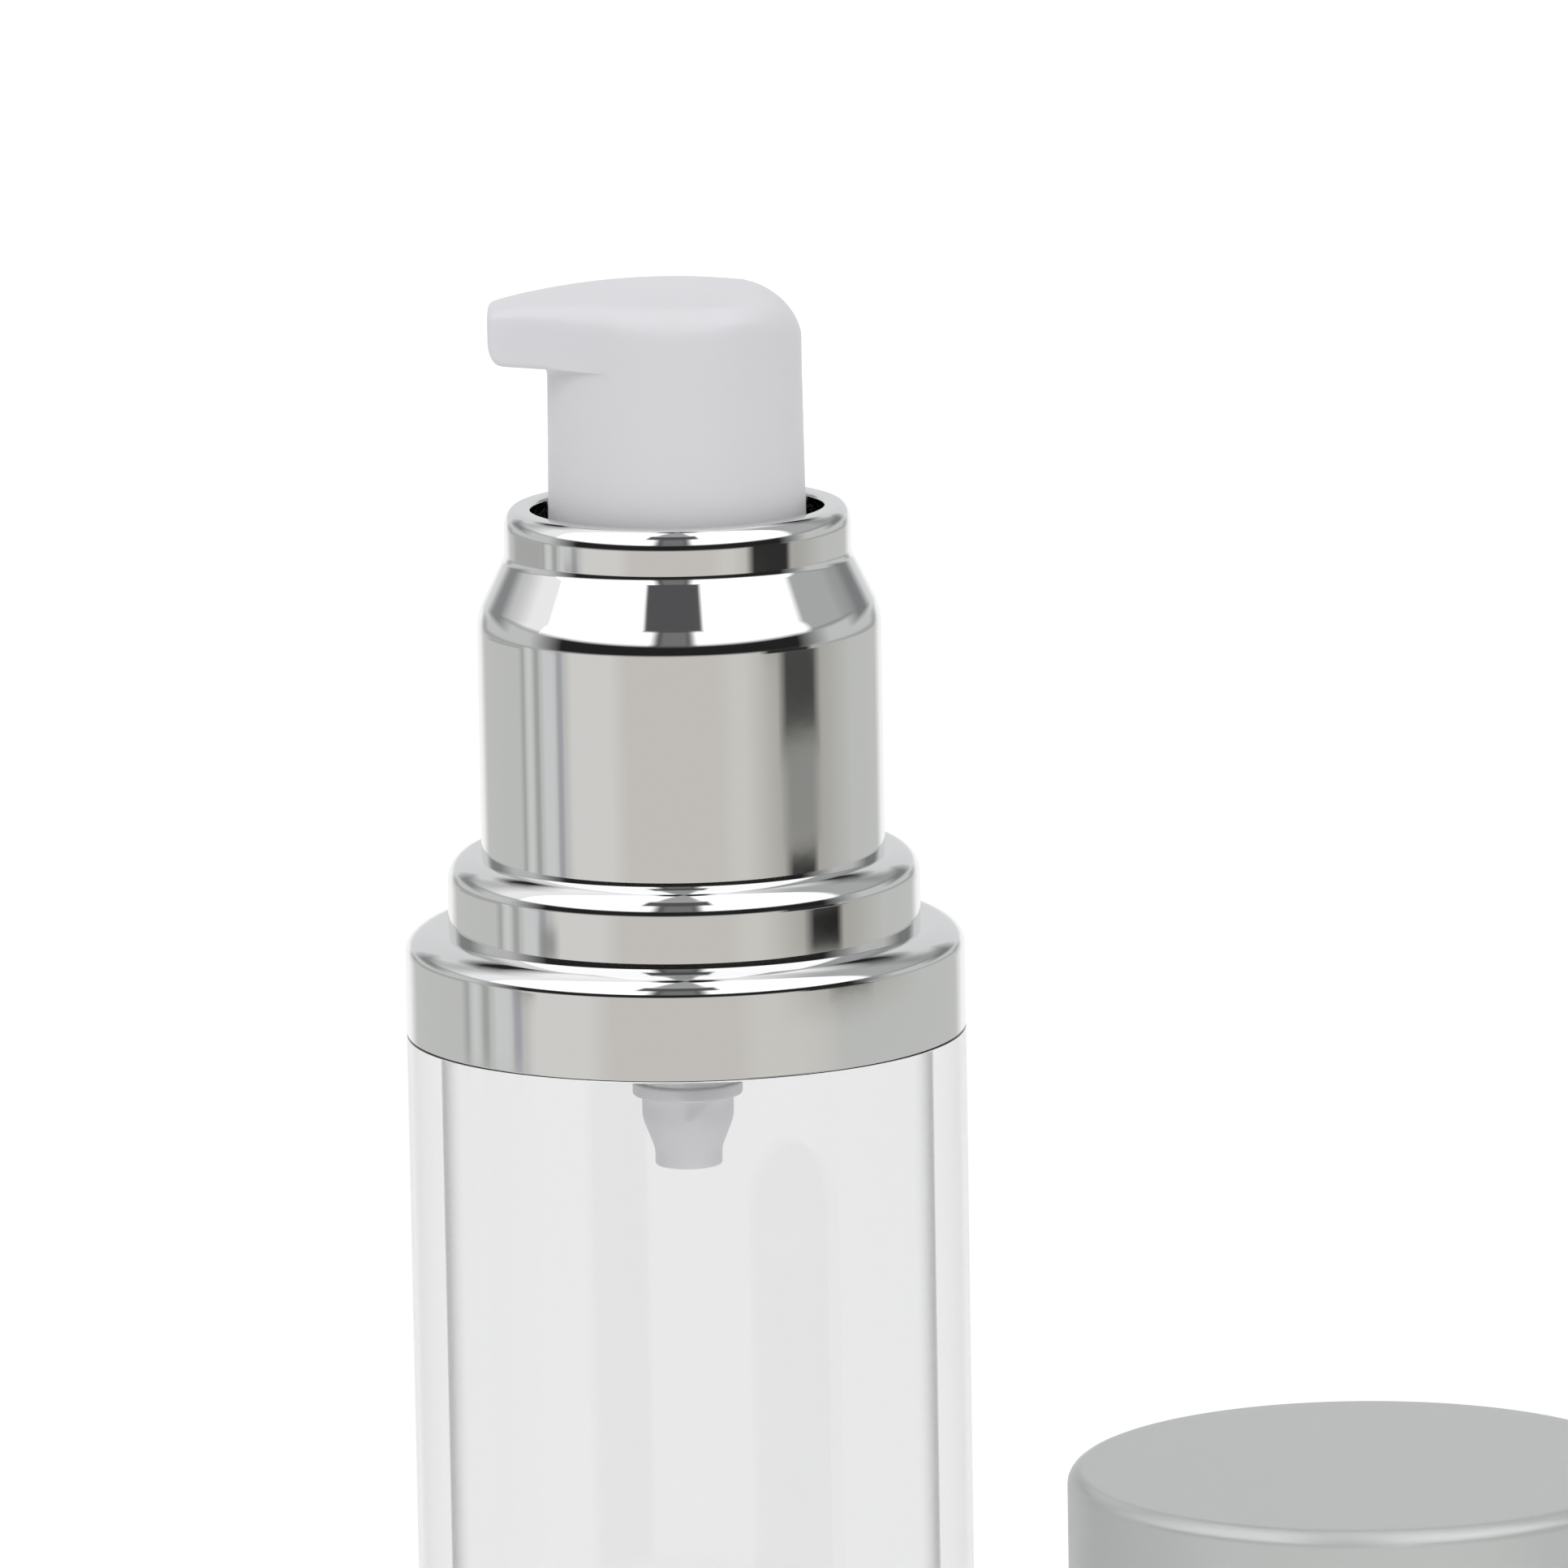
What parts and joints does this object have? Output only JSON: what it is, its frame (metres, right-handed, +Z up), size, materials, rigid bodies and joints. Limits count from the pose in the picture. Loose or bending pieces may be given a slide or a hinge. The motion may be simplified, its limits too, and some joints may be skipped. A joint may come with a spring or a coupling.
{
  "type": "airless pump bottle",
  "caption": "Round clear airless pump bottle with a bright stepped collar, a milky beak-spout push button and a matt silver overcap standing beside it.",
  "frame": {"origin": "centre of the bottle's flat base, on the bottle's axis", "axes": "+Z up along the bottle's axis, -X the way the spout points at rest, overcap beside the bottle towards +X and -Y"},
  "size_m": [0.0745, 0.084, 0.1083],
  "materials": {
    "clear_plastic": "clear polished",
    "white_plastic": "satin moulded",
    "milky_plastic": "translucent satin",
    "soft_plastic": "waxy translucent",
    "seal_rubber": "matt",
    "metallised_plastic": "vacuum metallised mirror",
    "matt_silver": "matt silver lacquer",
    "steel": "bright"
  },
  "bodies": {
    "container": {"bottle_body": "clear_plastic", "base_plug": "white_plastic", "shoulder_ring": "metallised_plastic", "collar_shroud": "metallised_plastic", "snap_closure": "white_plastic", "neck_gasket": "seal_rubber", "pump_housing": "white_plastic", "lock_ring": "white_plastic", "inlet_seat": "milky_plastic", "return_spring": "steel"},
    "follower": {"follower_piston": "soft_plastic"},
    "ball": {"inlet_ball": "steel"},
    "plunger": {"stem": "white_plastic", "piston_rod": "white_plastic"},
    "seal": {"piston_seal": "soft_plastic"},
    "button": {"actuator": "milky_plastic"},
    "overcap": {"cap_shell": "matt_silver", "cap_liner": "white_plastic"}
  },
  "joints": [
    {"name": "press", "type": "slide", "parent": "container", "child": "plunger", "axis": [0, 0, -1], "range_m": [0, 0.006], "stiffness_N_per_m": 900, "springref_m": -0.004, "deforming": ["return_spring"]},
    {"name": "swivel", "type": "hinge", "parent": "plunger", "child": "button", "pos_m": [0, 0, 0.1], "axis": [0, 0, 1], "continuous": true},
    {"name": "seal_shift", "type": "slide", "parent": "plunger", "child": "seal", "axis": [0, 0, 1], "range_m": [0, 0.0008]},
    {"name": "valve_lift", "type": "slide", "parent": "container", "child": "ball", "axis": [0, 0, 1], "range_m": [0, 0.002]},
    {"name": "follower_rise", "type": "slide", "parent": "container", "child": "follower", "axis": [0, 0, 1], "range_m": [0, 0.0458]},
    {"name": "cap_lift", "type": "slide", "parent": "container", "child": "overcap", "axis": [0, 0, 1], "range_m": [0, 0.06]}
  ]
}
